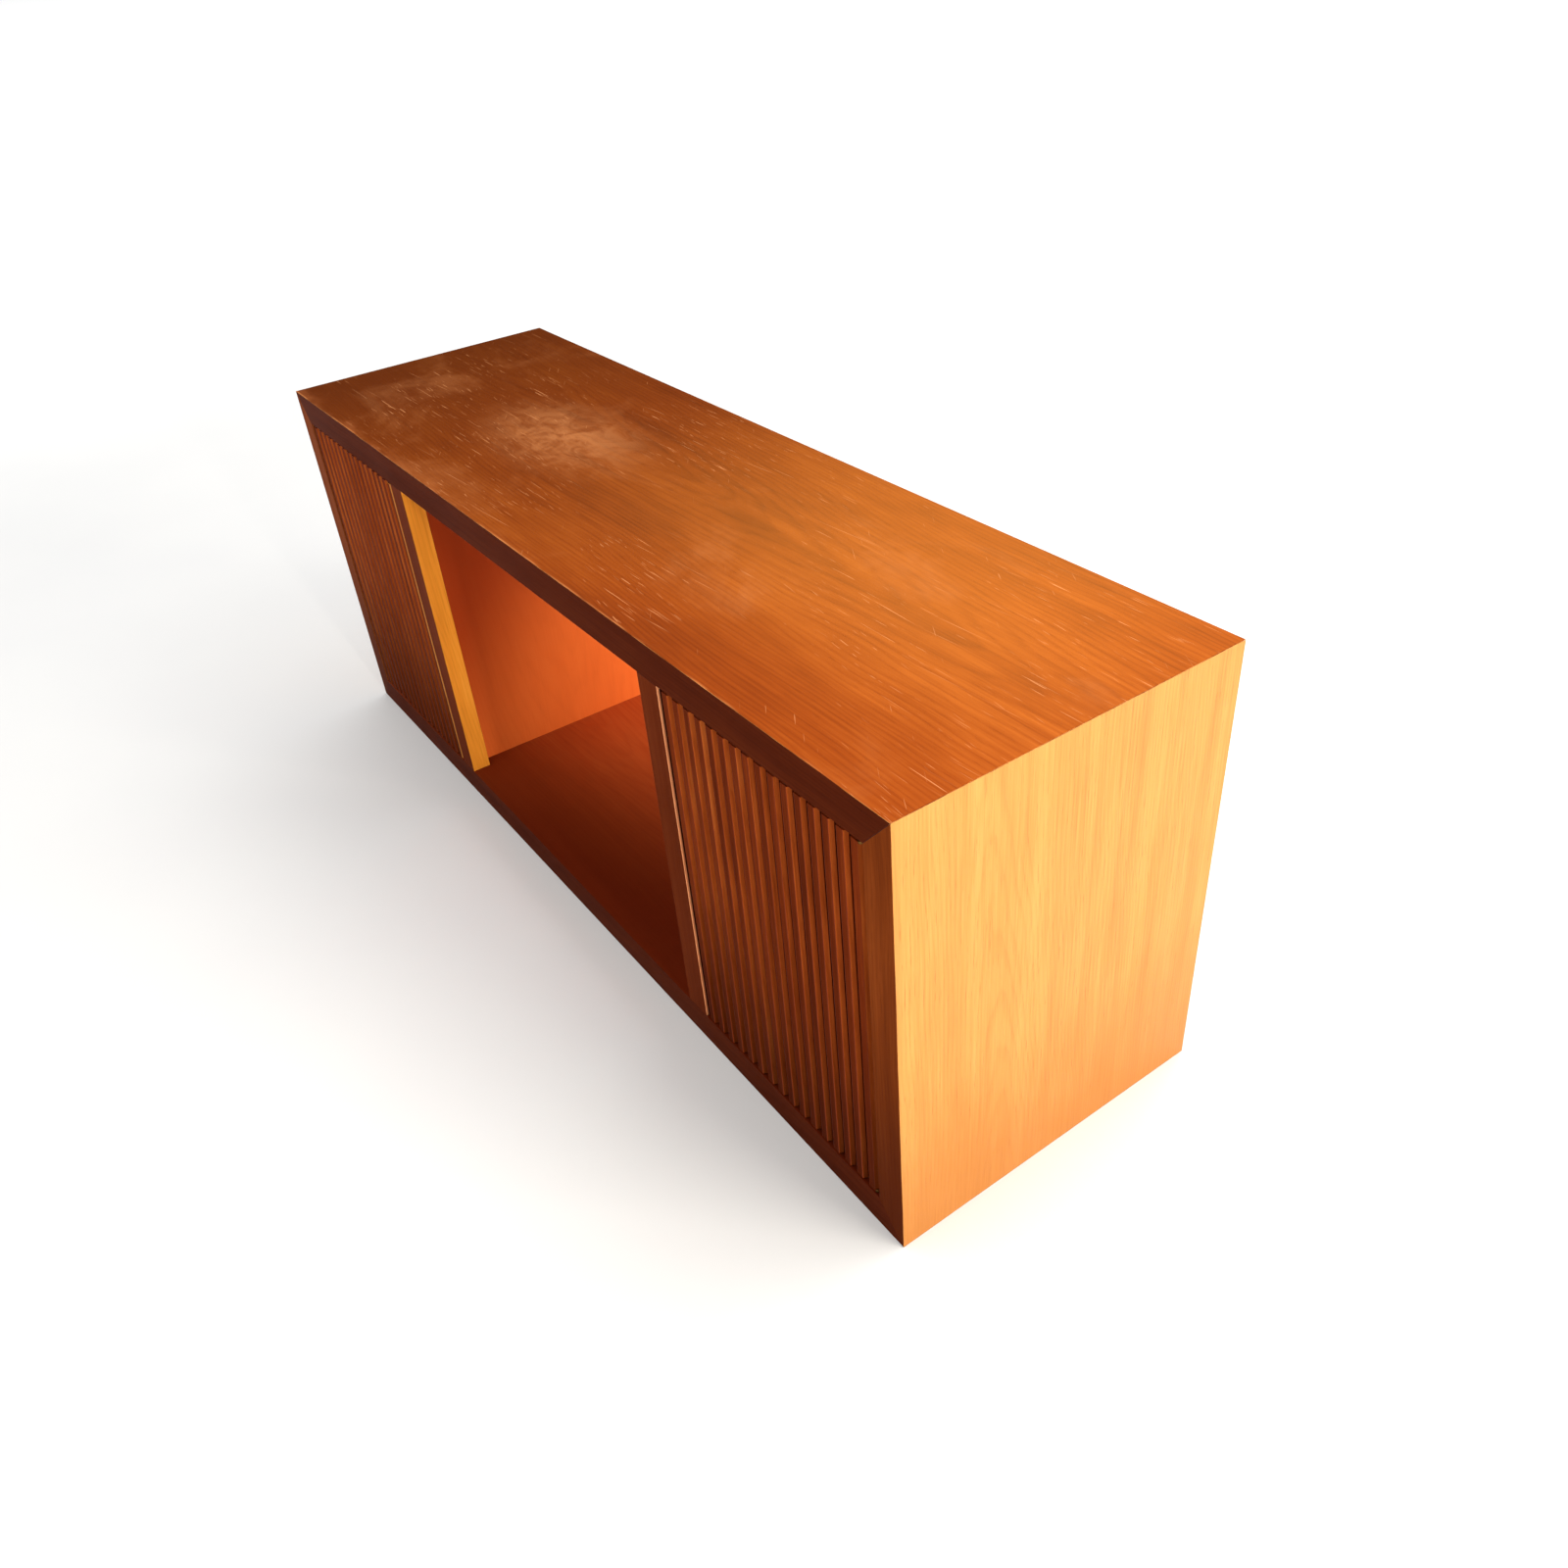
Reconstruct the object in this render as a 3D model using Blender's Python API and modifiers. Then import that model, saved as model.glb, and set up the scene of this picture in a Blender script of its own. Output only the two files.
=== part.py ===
"""Low storage cabinet: an open centre bay between two side bays with ribbed, inset doors.

Four thick boards are mitred into a box that stands on its own bottom board.  Two dividers
split it into three bays.  Each divider is fronted by a solid stile, and each side bay has a
back, a shelf and a door on concealed knife hinges, held shut by a magnetic catch.

Frame: metres, +X along the length, -Y towards the front, +Z up.  The origin is on the
floor, under the middle of the cabinet.
"""
import bmesh
import bpy
from math import cos, pi, radians, sin
from mathutils import Vector

# ---- driving dimensions (metres) -------------------------------------------------------
WIDTH = 1.580
DEPTH = 0.460
HEIGHT = 0.600
LEVEL_THICKNESS = 0.046        # top and bottom boards
SIDE_THICKNESS = 0.041         # left and right boards
STILE_WIDTH = 0.041            # solid stile in front of each divider
STILE_DEPTH = 0.030
DIVIDER_THICKNESS = 0.018
SIDE_BAY = 0.360               # clear width of a door opening
SHELF_THICKNESS = 0.018
SHELF_TOP = 0.318              # height of a shelf's upper face
SHELF_SETBACK = 0.048          # from the front plane to a shelf's front edge
BACK_THICKNESS = 0.008
BACK_INSET = 0.010             # from the rear plane to a back panel
HOUSING = 0.006                # depth of every dado and groove
GAP = 0.0003                   # left between pieces that touch

# ---- doors ---------------------------------------------------------------------------
DOOR_SIDE_GAP = 0.003
DOOR_TOP_GAP = 0.004
DOOR_BOTTOM_GAP = 0.0015
DOOR_REVEAL = 0.001            # rib fronts sit this far behind the front plane
DOOR_CORE = 0.016
RIB_COUNT = 16
RIB_HEIGHT = 0.006             # how far a rib stands off the door board
RIB_FRONT = 0.010              # width of a rib's flat front
RIB_FOOT = 0.016               # width of a rib where it meets the door board

# ---- hinges and catches ----------------------------------------------------------------
AXIS_INSET = 0.006             # from a door's outer edge to its hinge axis
AXIS_SETBACK = 0.005           # from the rib fronts back to the hinge axis
LEAF_LENGTH = 0.050
LEAF_WIDTH = 0.010
LEAF_START = 0.002             # from the axis back to a leaf's front edge
LEAF_THICKNESS = 0.0025
KNUCKLE_RADIUS = 0.004
PIN_RADIUS = 0.002
KNUCKLE_SEGMENTS = 16
PIN_SEGMENTS = 24
CATCH_SIZE = Vector((0.044, 0.015, 0.014))
CATCH_FROM_STILE = 0.040       # from the opening's inner edge to the catch's middle
CATCH_SLOT = Vector((0.030, 0.003, 0.006))
STRIKE_SIZE = Vector((0.038, 0.0015, 0.012))
STRIKE_ROUNDING = 0.0003

# ---- worked-out places -----------------------------------------------------------------
FRONT = -DEPTH / 2
REAR = DEPTH / 2
FLOOR = LEVEL_THICKNESS                        # upper face of the bottom board
CEILING = HEIGHT - LEVEL_THICKNESS             # underside of the top board
OPENING_OUTER = WIDTH / 2 - SIDE_THICKNESS     # a door opening's outer and inner edges
OPENING_INNER = OPENING_OUTER - SIDE_BAY
DIVIDER_FACE = OPENING_INNER - DIVIDER_THICKNESS
STILE_FACE = OPENING_INNER - STILE_WIDTH
BACK_FRONT = REAR - BACK_INSET - BACK_THICKNESS
DOOR_WIDTH = SIDE_BAY - 2 * DOOR_SIDE_GAP
DOOR_BOTTOM = FLOOR + DOOR_BOTTOM_GAP
DOOR_TOP = CEILING - DOOR_TOP_GAP
RIB_FACE = FRONT + DOOR_REVEAL                 # plane of the rib fronts
CORE_FRONT = RIB_FACE + RIB_HEIGHT
CORE_REAR = CORE_FRONT + DOOR_CORE
RIB_PITCH = DOOR_WIDTH / RIB_COUNT
AXIS_X = OPENING_OUTER - DOOR_SIDE_GAP - AXIS_INSET
AXIS_Y = RIB_FACE + AXIS_SETBACK

# ---- colours: base colour, roughness, metallic -----------------------------------------
TOP_WOOD = ((0.42, 0.13, 0.035), 0.38, 0.0)
BOTTOM_WOOD = ((0.20, 0.045, 0.015), 0.42, 0.0)
SIDE_WOOD = ((0.55, 0.24, 0.07), 0.40, 0.0)
INNER_WOOD = ((0.36, 0.11, 0.03), 0.45, 0.0)
STILE_WOOD = ((0.22, 0.06, 0.02), 0.40, 0.0)
BACK_WOOD = ((0.30, 0.12, 0.05), 0.60, 0.0)
DOOR_WOOD = ((0.16, 0.04, 0.015), 0.45, 0.0)
BRASS = ((0.72, 0.52, 0.22), 0.32, 1.0)
STEEL = ((0.55, 0.55, 0.57), 0.35, 1.0)
PLASTIC = ((0.12, 0.08, 0.06), 0.50, 0.0)


# ---- scene and helpers -----------------------------------------------------------------
for old in list(bpy.data.objects):
    bpy.data.objects.remove(old, do_unlink=True)

parts = bpy.data.collections.new("cube_storage_unit")
cutters = bpy.data.collections.new("cutters")
bpy.context.scene.collection.children.link(parts)
bpy.context.scene.collection.children.link(cutters)


def material(name, look):
    """A Principled material from a (colour, roughness, metallic) look."""
    colour, roughness, metallic = look
    made = bpy.data.materials.new(name)
    made.use_nodes = True
    shader = made.node_tree.nodes["Principled BSDF"]
    shader.inputs["Base Color"].default_value = (*colour, 1.0)
    shader.inputs["Roughness"].default_value = roughness
    shader.inputs["Metallic"].default_value = metallic
    made.diffuse_color = (*colour, 1.0)
    return made


def add_part(name, mesh, look, parent=None):
    """Put a mesh in the scene as a named sub-part with its own material."""
    made = bpy.data.objects.new(name, mesh)
    parts.objects.link(made)
    made.parent = parent
    if not mesh.materials:
        mesh.materials.append(None)
    made.material_slots[0].link = "OBJECT"
    made.material_slots[0].material = material(name, look)
    return made


def add_cutter(name, mesh):
    """Put a mesh in the scene as a hidden cutter."""
    made = bpy.data.objects.new(name, mesh)
    cutters.objects.link(made)
    made.hide_render = True
    made.display_type = "WIRE"
    return made


def box_mesh(name, low, high):
    """A box between two corners."""
    low, high = Vector(low), Vector(high)
    bm = bmesh.new()
    bmesh.ops.create_cube(bm, size=1.0)
    bmesh.ops.scale(bm, vec=high - low, verts=bm.verts)
    bmesh.ops.translate(bm, vec=(low + high) / 2, verts=bm.verts)
    mesh = bpy.data.meshes.new(name)
    bm.to_mesh(mesh)
    bm.free()
    return mesh


def outline_mesh(name, points, low_z, high_z):
    """An upright prism: a closed outline in XY, filled and extruded from low_z to high_z."""
    curve = bpy.data.curves.new(name, "CURVE")
    curve.dimensions = "2D"
    curve.fill_mode = "BOTH"
    curve.extrude = (high_z - low_z) / 2
    spline = curve.splines.new("POLY")
    spline.points.add(len(points) - 1)
    for point, (x, y) in zip(spline.points, points):
        point.co = (x, y, 0.0, 1.0)
    spline.use_cyclic_u = True
    drawn = bpy.data.objects.new(name, curve)
    parts.objects.link(drawn)
    view = bpy.context.evaluated_depsgraph_get()
    mesh = bpy.data.meshes.new_from_object(drawn.evaluated_get(view))
    bpy.data.objects.remove(drawn, do_unlink=True)
    bm = bmesh.new()
    bm.from_mesh(mesh)
    bmesh.ops.remove_doubles(bm, verts=bm.verts, dist=1e-6)
    bmesh.ops.translate(bm, vec=(0.0, 0.0, (low_z + high_z) / 2), verts=bm.verts)
    bmesh.ops.recalc_face_normals(bm, faces=bm.faces)
    bm.to_mesh(mesh)
    bm.free()
    return mesh


def saw(mesh, point, normal):
    """Cut a mesh flat at a plane and drop what lies on the normal's side."""
    bm = bmesh.new()
    bm.from_mesh(mesh)
    everything = bm.verts[:] + bm.edges[:] + bm.faces[:]
    bmesh.ops.bisect_plane(
        bm, geom=everything, plane_co=point, plane_no=normal, clear_outer=True)
    rim = [edge for edge in bm.edges if edge.is_boundary]
    bmesh.ops.contextual_create(bm, geom=rim)
    bmesh.ops.recalc_face_normals(bm, faces=bm.faces)
    bm.to_mesh(mesh)
    bm.free()


def combine(target, other, operation):
    """Add an exact Boolean modifier to target."""
    step = target.modifiers.new(other.name, "BOOLEAN")
    step.operation = operation
    step.solver = "EXACT"
    step.object = other


def cut_box(targets, name, low, high):
    """Cut the same box out of several pieces."""
    cutter = add_cutter(name, box_mesh(name, low, high))
    for target in targets:
        combine(target, cutter, "DIFFERENCE")


def span(side, inner, outer):
    """Sorted X limits of something between two distances from the middle, on one side."""
    return sorted((side * inner, side * outer))


# ---- carcass ---------------------------------------------------------------------------
def mitre_plane(side, upper):
    """A point on a corner's mitre line and the unit normal out of the level board."""
    corner = Vector((side * WIDTH / 2, 0.0, HEIGHT if upper else 0.0))
    inward = -SIDE_THICKNESS if upper else SIDE_THICKNESS
    normal = Vector((side * LEVEL_THICKNESS, 0.0, inward)).normalized()
    return corner, normal


def build_level(name, upper, look):
    """The top or bottom board, mitred at both ends."""
    low_z = CEILING if upper else 0.0
    mesh = box_mesh(name, (-WIDTH / 2, FRONT, low_z), (WIDTH / 2, REAR, low_z + LEVEL_THICKNESS))
    for side in (-1, 1):
        corner, normal = mitre_plane(side, upper)
        saw(mesh, corner - normal * GAP / 2, normal)
    return add_part(name, mesh, look)


def build_side(name, side):
    """A side board, mitred at its top and bottom."""
    low_x, high_x = span(side, OPENING_OUTER, WIDTH / 2)
    mesh = box_mesh(name, (low_x, FRONT, 0.0), (high_x, REAR, HEIGHT))
    for upper in (False, True):
        corner, normal = mitre_plane(side, upper)
        saw(mesh, corner + normal * GAP / 2, -normal)
    return add_part(name, mesh, SIDE_WOOD)


def build_divider(name, side):
    """A divider board, housed in the top and bottom boards behind its stile."""
    low_x, high_x = span(side, DIVIDER_FACE, OPENING_INNER)
    tenon = HOUSING - GAP
    low = (low_x, FRONT + STILE_DEPTH + GAP, FLOOR - tenon)
    high = (high_x, REAR, CEILING + tenon)
    made = add_part(name, box_mesh(name, low, high), INNER_WOOD)
    slot_low = (low_x - GAP, FRONT + STILE_DEPTH, FLOOR - HOUSING)
    slot_high = (high_x + GAP, REAR + GAP, CEILING + HOUSING)
    cut_box((top_panel, bottom_panel), name + "_dado", slot_low, slot_high)
    return made


def build_stile(name, side):
    """The solid stile that covers a divider's front edge and stands proud of its inner face."""
    low_x, high_x = span(side, STILE_FACE, OPENING_INNER)
    low = (low_x, FRONT, FLOOR + GAP)
    high = (high_x, FRONT + STILE_DEPTH, CEILING - GAP)
    return add_part(name, box_mesh(name, low, high), STILE_WOOD)


def build_back(name, side, neighbours):
    """A thin back panel, captured in grooves on all four sides of its bay."""
    reach = HOUSING - GAP
    low_x, high_x = span(side, OPENING_INNER - reach, OPENING_OUTER + reach)
    low = (low_x, BACK_FRONT, FLOOR - reach)
    high = (high_x, BACK_FRONT + BACK_THICKNESS, CEILING + reach)
    made = add_part(name, box_mesh(name, low, high), BACK_WOOD)
    margin = Vector((GAP, GAP, GAP))
    cut_box(neighbours, name + "_groove", Vector(low) - margin, Vector(high) + margin)
    return made


def build_shelf(name, side, neighbours):
    """A fixed shelf, housed in the side board and the divider."""
    reach = HOUSING - GAP
    low_x, high_x = span(side, OPENING_INNER - reach, OPENING_OUTER + reach)
    low = (low_x, FRONT + SHELF_SETBACK, SHELF_TOP - SHELF_THICKNESS)
    high = (high_x, BACK_FRONT - GAP, SHELF_TOP)
    made = add_part(name, box_mesh(name, low, high), INNER_WOOD)
    margin = Vector((GAP, GAP, GAP))
    cut_box(neighbours, name + "_dado", Vector(low) - margin, Vector(high) + margin)
    return made


# ---- doors -----------------------------------------------------------------------------
def build_hinge_axis(name, side):
    """An empty on a door's hinge axis, at floor level."""
    made = bpy.data.objects.new(name, None)
    parts.objects.link(made)
    made.location = (side * AXIS_X, AXIS_Y, 0.0)
    return made


def build_door_core(name, side, axis):
    """The plain board behind a door's ribs, placed relative to the hinge axis."""
    low_x, high_x = span(side, AXIS_INSET - DOOR_WIDTH, AXIS_INSET)
    low = (low_x, CORE_FRONT - AXIS_Y, DOOR_BOTTOM)
    high = (high_x, CORE_REAR - AXIS_Y, DOOR_TOP)
    return add_part(name, box_mesh(name, low, high), DOOR_WOOD, axis)


def build_ribs(label, side, axis):
    """A door's ribs, from its inner edge to its outer edge."""
    rear = CORE_FRONT - GAP - AXIS_Y
    front = RIB_FACE - AXIS_Y
    outline = [(-RIB_FRONT / 2, front), (RIB_FRONT / 2, front),
               (RIB_FOOT / 2, rear), (-RIB_FOOT / 2, rear)]
    mesh = outline_mesh(label + "_rib", outline, DOOR_BOTTOM, DOOR_TOP)
    made = []
    for index in range(RIB_COUNT):
        from_inner = (index + 0.5) * RIB_PITCH
        tone = 1.0 + 0.22 * sin(5.0 * index + side)
        look = (tuple(channel * tone for channel in DOOR_WOOD[0]), DOOR_WOOD[1], 0.0)
        rib = add_part(f"{label}_rib_{index + 1:02d}", mesh, look, axis)
        rib.location.x = side * (from_inner - DOOR_WIDTH + AXIS_INSET)
        made.append(rib)
    return made


# ---- hinges ----------------------------------------------------------------------------
def leaf_outline(side, clearance):
    """A knife-hinge leaf seen from above: a plate with a round knuckle on the axis."""
    radius = KNUCKLE_RADIUS + clearance
    front = LEAF_START - clearance
    rear = LEAF_START + LEAF_WIDTH + clearance
    inner = KNUCKLE_RADIUS - LEAF_LENGTH - clearance
    points = [(inner, rear), (inner, front), (-radius, front)]
    for step in range(KNUCKLE_SEGMENTS + 1):
        angle = pi + pi * step / KNUCKLE_SEGMENTS
        points.append((radius * cos(angle), radius * sin(angle)))
    points.append((radius, rear))
    return [(side * x, y) for x, y in points]


def pin_mesh(name, radius, low_z, high_z):
    """An upright cylinder on the hinge axis."""
    bm = bmesh.new()
    bmesh.ops.create_cone(
        bm, cap_ends=True, segments=PIN_SEGMENTS, radius1=radius, radius2=radius,
        depth=high_z - low_z)
    bmesh.ops.translate(bm, vec=(0.0, 0.0, (low_z + high_z) / 2), verts=bm.verts)
    mesh = bpy.data.meshes.new(name)
    bm.to_mesh(mesh)
    bm.free()
    return mesh


def build_hinge(label, side, axis, upper, door_core, end_rib):
    """One knife hinge: a frame leaf with the pin, and a door leaf with the eye."""
    way = 1 if upper else -1                       # from the door edge to the frame
    frame_face = CEILING if upper else FLOOR
    door_face = DOOR_TOP if upper else DOOR_BOTTOM
    frame_panel = top_panel if upper else bottom_panel
    seat = LEAF_THICKNESS + GAP

    frame_z = sorted((frame_face, frame_face + way * LEAF_THICKNESS))
    frame_leaf = add_part(
        label + "_frame_leaf",
        outline_mesh(label + "_frame_leaf", leaf_outline(side, 0.0), *frame_z), BRASS)
    frame_leaf.location = axis.location
    mortise_z = sorted((frame_face - way * GAP, frame_face + way * seat))
    mortise = add_cutter(
        label + "_frame_mortise",
        outline_mesh(label + "_frame_mortise", leaf_outline(side, GAP), *mortise_z))
    mortise.location = axis.location
    combine(frame_panel, mortise, "DIFFERENCE")

    door_z = sorted((door_face, door_face - way * LEAF_THICKNESS))
    door_leaf = add_part(
        label + "_door_leaf",
        outline_mesh(label + "_door_leaf", leaf_outline(side, 0.0), *door_z), BRASS, axis)
    mortise_z = sorted((door_face + way * GAP, door_face - way * seat))
    mortise = add_cutter(
        label + "_door_mortise",
        outline_mesh(label + "_door_mortise", leaf_outline(side, GAP), *mortise_z))
    mortise.parent = axis
    combine(door_core, mortise, "DIFFERENCE")
    combine(end_rib, mortise, "DIFFERENCE")

    pin_end = door_face - way * LEAF_THICKNESS
    pin_z = sorted((frame_face + way * LEAF_THICKNESS / 2, pin_end))
    pin = add_cutter(label + "_pin", pin_mesh(label + "_pin", PIN_RADIUS, *pin_z))
    pin.location = axis.location
    combine(frame_leaf, pin, "UNION")
    eye_z = sorted((door_face + way * LEAF_THICKNESS, pin_end - way * LEAF_THICKNESS))
    eye = add_cutter(label + "_eye", pin_mesh(label + "_eye", PIN_RADIUS + GAP, *eye_z))
    eye.parent = axis
    combine(door_leaf, eye, "DIFFERENCE")


# ---- catches ---------------------------------------------------------------------------
def build_catch(label, side, axis):
    """A magnetic catch under the top board and the strike plate on the door's back."""
    middle_x = side * (OPENING_INNER + CATCH_FROM_STILE)
    strike_front = CORE_REAR + GAP
    catch_front = strike_front + STRIKE_SIZE.y + GAP
    catch_top = CEILING - GAP
    middle_z = catch_top - CATCH_SIZE.z / 2

    low = (middle_x - CATCH_SIZE.x / 2, catch_front, catch_top - CATCH_SIZE.z)
    high = (middle_x + CATCH_SIZE.x / 2, catch_front + CATCH_SIZE.y, catch_top)
    catch = add_part(label + "_magnetic_catch", box_mesh(label + "_catch", low, high), PLASTIC)
    slot_low = (middle_x - CATCH_SLOT.x / 2, catch_front - GAP, middle_z - CATCH_SLOT.z / 2)
    slot_high = (middle_x + CATCH_SLOT.x / 2, catch_front + CATCH_SLOT.y,
                 middle_z + CATCH_SLOT.z / 2)
    cut_box((catch,), label + "_catch_slot", slot_low, slot_high)

    offset = middle_x - axis.location.x
    strike_z = DOOR_TOP - GAP - STRIKE_SIZE.z / 2
    low = (offset - STRIKE_SIZE.x / 2, strike_front - AXIS_Y, strike_z - STRIKE_SIZE.z / 2)
    high = (offset + STRIKE_SIZE.x / 2, strike_front + STRIKE_SIZE.y - AXIS_Y,
            strike_z + STRIKE_SIZE.z / 2)
    strike = add_part(label + "_strike_plate", box_mesh(label + "_strike", low, high), STEEL, axis)
    rounding = strike.modifiers.new("rounding", "BEVEL")
    rounding.width = STRIKE_ROUNDING
    rounding.segments = 2
    rounding.limit_method = "ANGLE"
    rounding.angle_limit = radians(60)


# ---- assembly --------------------------------------------------------------------------
top_panel = build_level("top_panel", True, TOP_WOOD)
bottom_panel = build_level("bottom_panel", False, BOTTOM_WOOD)

for side, label in ((-1, "left"), (1, "right")):
    side_panel = build_side(label + "_side_panel", side)
    divider = build_divider(label + "_divider", side)
    build_stile(label + "_stile", side)
    around = (top_panel, bottom_panel, side_panel, divider)
    build_back(label + "_back_panel", side, around)
    build_shelf(label + "_shelf", side, (side_panel, divider))
    hinge_axis = build_hinge_axis(label + "_hinge_axis", side)
    core = build_door_core(label + "_door_core", side, hinge_axis)
    ribs = build_ribs(label + "_door", side, hinge_axis)
    build_hinge(label + "_top_hinge", side, hinge_axis, True, core, ribs[-1])
    build_hinge(label + "_bottom_hinge", side, hinge_axis, False, core, ribs[-1])
    build_catch(label, side, hinge_axis)
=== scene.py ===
"""Looks of a low teak-coloured cabinet with two ribbed doors and an open middle bay.

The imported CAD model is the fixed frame. Every board keeps its CAD mesh and gets softened edges and a wood
material worked out from its own grain direction; the hardware gets metal and moulded plastic.
Lengths are in metres. Colours are sRGB values from 0 to 1, which paint() turns into light values.
"""

from math import radians

import bpy
from mathutils import Color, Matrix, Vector


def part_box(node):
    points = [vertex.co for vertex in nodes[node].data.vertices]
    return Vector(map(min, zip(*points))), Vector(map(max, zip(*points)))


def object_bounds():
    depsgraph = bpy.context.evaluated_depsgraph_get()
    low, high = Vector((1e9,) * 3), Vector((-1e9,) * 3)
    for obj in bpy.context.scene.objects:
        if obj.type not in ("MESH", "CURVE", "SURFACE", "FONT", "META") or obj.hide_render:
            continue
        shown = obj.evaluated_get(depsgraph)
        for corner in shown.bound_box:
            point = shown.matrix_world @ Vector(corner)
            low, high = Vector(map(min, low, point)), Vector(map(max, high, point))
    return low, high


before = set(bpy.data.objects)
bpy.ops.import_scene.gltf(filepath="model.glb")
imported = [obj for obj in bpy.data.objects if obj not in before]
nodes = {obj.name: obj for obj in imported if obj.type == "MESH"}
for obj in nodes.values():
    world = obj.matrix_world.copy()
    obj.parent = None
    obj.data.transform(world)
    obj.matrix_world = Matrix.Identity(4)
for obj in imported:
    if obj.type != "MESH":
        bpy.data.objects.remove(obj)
cad_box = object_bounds()

SIDES = ("left", "right")
OPPOSITE = {"left": "right", "right": "left"}
RIBS_PER_DOOR = 16
X, Y, Z = 0, 1, 2
DIRECTIONS = {
    "left": Vector((-1.0, 0.0, 0.0)),
    "right": Vector((1.0, 0.0, 0.0)),
    "front": Vector((0.0, -1.0, 0.0)),
    "up": Vector((0.0, 0.0, 1.0)),
}
FACING = 0.7                      # least dot product of a face that looks in a direction

# Softened edges.
WELD_DISTANCE = 0.00002
FLAT_ANGLE = radians(1.0)
EDGE_ANGLE = radians(40.0)
ARRIS_SEGMENTS = 2
BOARD_ARRIS = 0.0011
RIB_ARRIS = 0.0006
THIN_ARRIS = 0.0003
METAL_ARRIS = 0.0002

# Noise scales for each metre, on wood as (across the grain, along the grain, depth), on metal as (x, y, z).
SWAY_SCALE = (5.0, 1.6, 5.0)
WOBBLE_SCALE = (34.0, 3.5, 34.0)
STREAK_SCALE = (420.0, 7.0, 420.0)
BAND_SCALE = (60.0, 1.2, 60.0)
CLOUD_SCALE = (7.0, 2.2, 7.0)
MOTTLE_SCALE = (34.0, 8.0, 34.0)
PORE_SCALE = (1150.0, 38.0, 1150.0)
WORN_EDGE_SCALE = (26.0, 11.0, 1.0)
REFLECTION_SCALE = (24.0, 16.0, 1.0)
SHEEN_MOTTLE_SCALE = (6.5, 4.2, 6.5)
BARE_EDGE_SCALE = (20.0, 9.0, 20.0)
SCRATCH_GROUP_SCALE = (5.0, 9.0, 1.0)
SIDE_SHADE_SCALE = (5.0, 3.0, 5.0)
RUB_SCALE = (30.0, 11.0, 30.0)
RUB_STREAK_SCALE = (300.0, 9.0, 300.0)
METAL_LINE_SCALE = (60.0, 900.0, 900.0)
TARNISH_SCALE = 120.0
PLASTIC_SCALE = 1800.0
FLOOR_SCALE = 3.0

# Growth rings.
RING_SWAY = 0.07
RING_WOBBLE = 0.010
RING_RATE_SCALE = 24.0
RING_UNEVENNESS = 1.8             # in rings
RING_PROFILE = (
    # place in the ring, darkness
    (0.0, 0.15),
    (0.45, 0.0),
    (0.86, 1.0),
    (1.0, 0.2),
)

# Colours of the woods: dark, middle and light. Faces of one wood get different tones partly as painted light
# and shade: the front faces of the rails, side panels, stiles and ribs are painted darker for their shade, and
# the outer sides, the stile returns, the rib flanks and the bay's walls are painted lighter where light falls.
TOP_TONES = ((0.42, 0.17, 0.04), (0.56, 0.25, 0.06), (0.66, 0.33, 0.10))
SIDE_TONES = ((0.62, 0.39, 0.16), (0.71, 0.478, 0.22), (0.78, 0.55, 0.285))
RAIL_TONES = ((0.27, 0.09, 0.03), (0.335, 0.122, 0.045), (0.40, 0.165, 0.065))
END_TONES = ((0.40, 0.165, 0.05), (0.51, 0.23, 0.075), (0.60, 0.29, 0.11))
STILE_TONES = ((0.34, 0.125, 0.035), (0.42, 0.165, 0.055), (0.49, 0.21, 0.08))
RIB_TONES = ((0.36, 0.12, 0.03), (0.47, 0.175, 0.05), (0.56, 0.23, 0.08))
# Partly painted light on the rib flanks.
FLANK_LIGHT_TONES = ((0.54, 0.23, 0.08), (0.70, 0.33, 0.13), (0.82, 0.45, 0.21))
# Painted shade in the grooves between the ribs.
GROOVE_SHADE_TONES = ((0.17, 0.045, 0.01), (0.24, 0.065, 0.015), (0.31, 0.09, 0.02))
# Painted highlight on the first rib's inner flank.
INNER_FLANK_HIGHLIGHT_TONES = ((0.70, 0.42, 0.18), (0.86, 0.55, 0.27), (0.93, 0.66, 0.36))
# Painted highlight on the stile's return next to the door.
RETURN_HIGHLIGHT_TONES = ((0.80, 0.50, 0.32), (0.90, 0.60, 0.42), (0.95, 0.70, 0.52))
# Partly painted light on the stile's return into the bay.
BAY_RETURN_LIGHT_TONES = ((0.74, 0.44, 0.12), (0.86, 0.54, 0.17), (0.92, 0.62, 0.24))
WALL_TONES = ((0.80, 0.36, 0.14), (0.89, 0.42, 0.175), (0.93, 0.48, 0.22))
FLOOR_TONES = ((0.58, 0.23, 0.09), (0.68, 0.29, 0.12), (0.76, 0.36, 0.16))
DOOR_TONES = ((0.40, 0.18, 0.07), (0.50, 0.245, 0.10), (0.60, 0.32, 0.15))
INNER_TONES = ((0.40, 0.18, 0.08), (0.50, 0.25, 0.11), (0.60, 0.33, 0.16))
BACK_TONES = ((0.48, 0.28, 0.14), (0.60, 0.38, 0.20), (0.70, 0.48, 0.28))
RUBBED_TONES = ((0.36, 0.13, 0.04), (0.74, 0.45, 0.20), (0.86, 0.60, 0.34))

# Wear, painted light and painted shade. A range is where a change begins and where it is full, along x, y or
# z.
# Painted shade: the top is painted darker towards its left end.
LEFT_SHADE_X = (0.75, -0.8)
LEFT_SHADE_TONE = (0.32, 0.14, 0.045)
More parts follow.
